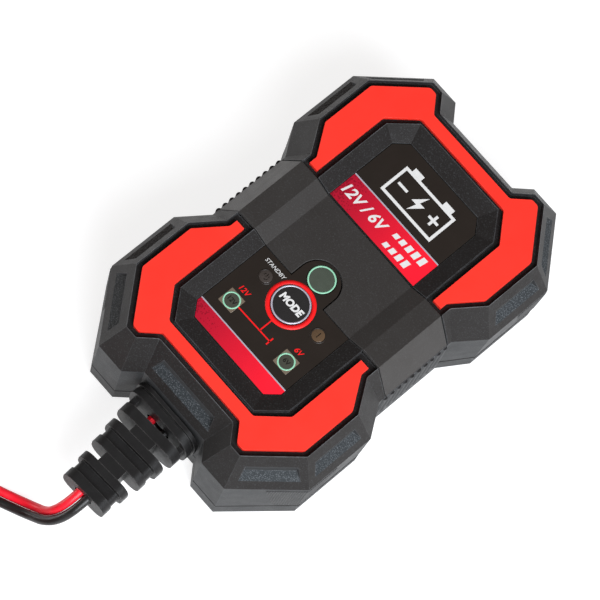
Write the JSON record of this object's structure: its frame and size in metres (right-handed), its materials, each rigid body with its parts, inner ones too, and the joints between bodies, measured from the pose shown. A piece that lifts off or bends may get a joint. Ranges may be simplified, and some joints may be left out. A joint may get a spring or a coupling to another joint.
{
  "type": "car battery charger",
  "caption": "Small plug-in battery charger with an X-shaped bumper case, a press button, indicator windows, folding mains blades and a two-wire lead.",
  "frame": {"origin": "centre of the case's footprint, on the surface that its flat back lies on", "axes": "+X across the face to the reader's right, +Y up the face away from the lead, +Z out of the face"},
  "size_m": [0.0875, 0.2068, 0.0323],
  "materials": {
    "rubber": "matte",
    "black_plastic": "satin",
    "red_plastic": "satin",
    "label_film": "satin",
    "window": "gloss",
    "steel": "satin",
    "brass": "satin",
    "copper": "satin",
    "circuit_board": "satin",
    "ferrite": "matte",
    "component_yellow": "satin",
    "component_blue": "gloss",
    "component_black": "satin",
    "component_white": "satin",
    "fuse_body": "satin",
    "heat_sink": "satin",
    "red_wire": "satin",
    "black_wire": "satin"
  },
  "bodies": {
    "case": {"rear_cover": "black_plastic", "front_shell": "rubber", "case_gasket": "rubber", "red_inlay_upper": "red_plastic", "red_inlay_lower": "red_plastic", "saddle_band": "black_plastic", "upper_label": "label_film", "lower_label": "label_film", "switch_base": "component_black", "status_lens": "window", "lens_12v": "window", "lens_6v": "window", "lens_standby": "window", "lens_fault": "window", "led_status": "component_white", "led_12v": "component_white", "led_6v": "component_white", "led_standby": "component_white", "led_fault": "component_white", "light_baffle": "black_plastic", "circuit_board": "circuit_board", "transformer_core": "ferrite", "transformer_winding": "component_yellow", "mains_capacitor": "component_black", "output_capacitor": "component_blue", "x_capacitor": "component_yellow", "choke": "copper", "bridge_rectifier": "component_black", "fuse": "fuse_body", "power_transistor": "component_black", "heat_sink": "heat_sink", "control_chip": "component_black", "blade_pin": "steel", "contact_spring_left": "copper", "contact_spring_right": "copper", "mains_wire_left": "black_wire", "mains_wire_right": "black_wire", "case_screw_1": "steel", "case_screw_2": "steel", "case_screw_3": "steel", "case_screw_4": "steel", "strain_relief": "rubber", "output_wire_red": "red_wire", "output_wire_black": "black_wire", "lead_red": "red_wire", "lead_black": "black_wire", "lead_coil": "black_wire", "lead_tie": "black_plastic", "tail_red": "red_wire", "tail_black": "black_wire", "connector_body": "black_plastic", "connector_pin": "brass", "connector_sleeve": "brass"},
    "button": {"mode_button": "black_plastic", "switch_plunger": "component_white"},
    "blades": {"blade_carrier": "black_plastic", "plug_blade_left": "brass", "plug_blade_right": "brass"}
  },
  "joints": [
    {"name": "button_press", "type": "slide", "parent": "case", "child": "button", "axis": [0, 0, -1], "range_m": [0, 0.0004], "stiffness_N_per_m": 2000, "springref_m": -0.0003},
    {"name": "blades_unfold", "type": "hinge", "parent": "case", "child": "blades", "pos_m": [0, 0.013, 0.0044], "axis": [-1, 0, 0], "range_deg": [0, 90]}
  ]
}
